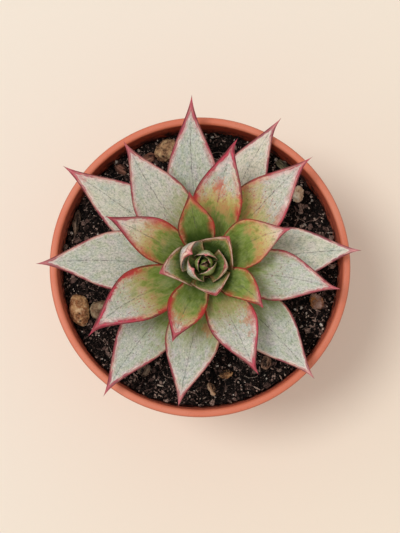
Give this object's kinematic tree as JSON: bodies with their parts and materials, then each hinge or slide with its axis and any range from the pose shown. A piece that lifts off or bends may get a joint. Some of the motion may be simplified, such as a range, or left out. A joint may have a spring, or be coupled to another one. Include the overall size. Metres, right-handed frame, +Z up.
{
  "type": "potted echeveria",
  "caption": "Rosette succulent with thick pointed red-edged leaves in a plain tapered terracotta-coloured plastic pot of soil.",
  "frame": {"origin": "centre of the pot's flat underside, on the surface it stands on", "axes": "+Z up along the pot's axis, +Y towards the top of the reference view from above, +X to its right"},
  "size_m": [0.127, 0.126, 0.1361],
  "materials": {
    "pot": "smooth satin moulded plastic, terracotta colour",
    "soil": "damp crumbly peat and bark mix, near black",
    "stem": "dull brown-green bark",
    "leaf": "waxy grey-green bloom with red margins",
    "heart": "waxy fresh green with pale pink margins",
    "pumice": "rough porous tan stone",
    "bark": "rough brown bark chip"
  },
  "bodies": {
    "root": {"pot": "pot", "soil": "soil", "stem": "stem", "leaf_01": "leaf", "leaf_02": "leaf", "leaf_03": "leaf", "leaf_04": "leaf", "leaf_05": "leaf", "leaf_06": "leaf", "leaf_07": "leaf", "leaf_08": "leaf", "leaf_09": "leaf", "leaf_10": "leaf", "leaf_11": "leaf", "leaf_12": "leaf", "leaf_13": "leaf", "leaf_14": "leaf", "leaf_15": "leaf", "leaf_16": "leaf", "leaf_17": "leaf", "leaf_18": "leaf", "leaf_19": "leaf", "leaf_20": "leaf", "leaf_21": "leaf", "leaf_22": "leaf", "heart": "heart", "pumice_1": "pumice", "pumice_2": "pumice", "pumice_3": "pumice", "pumice_4": "pumice", "pumice_5": "pumice", "bark_1": "bark", "bark_2": "bark", "bark_3": "bark", "bark_4": "bark", "bark_5": "bark", "bark_6": "bark", "bark_7": "bark", "bark_8": "bark"}
  },
  "joints": []
}
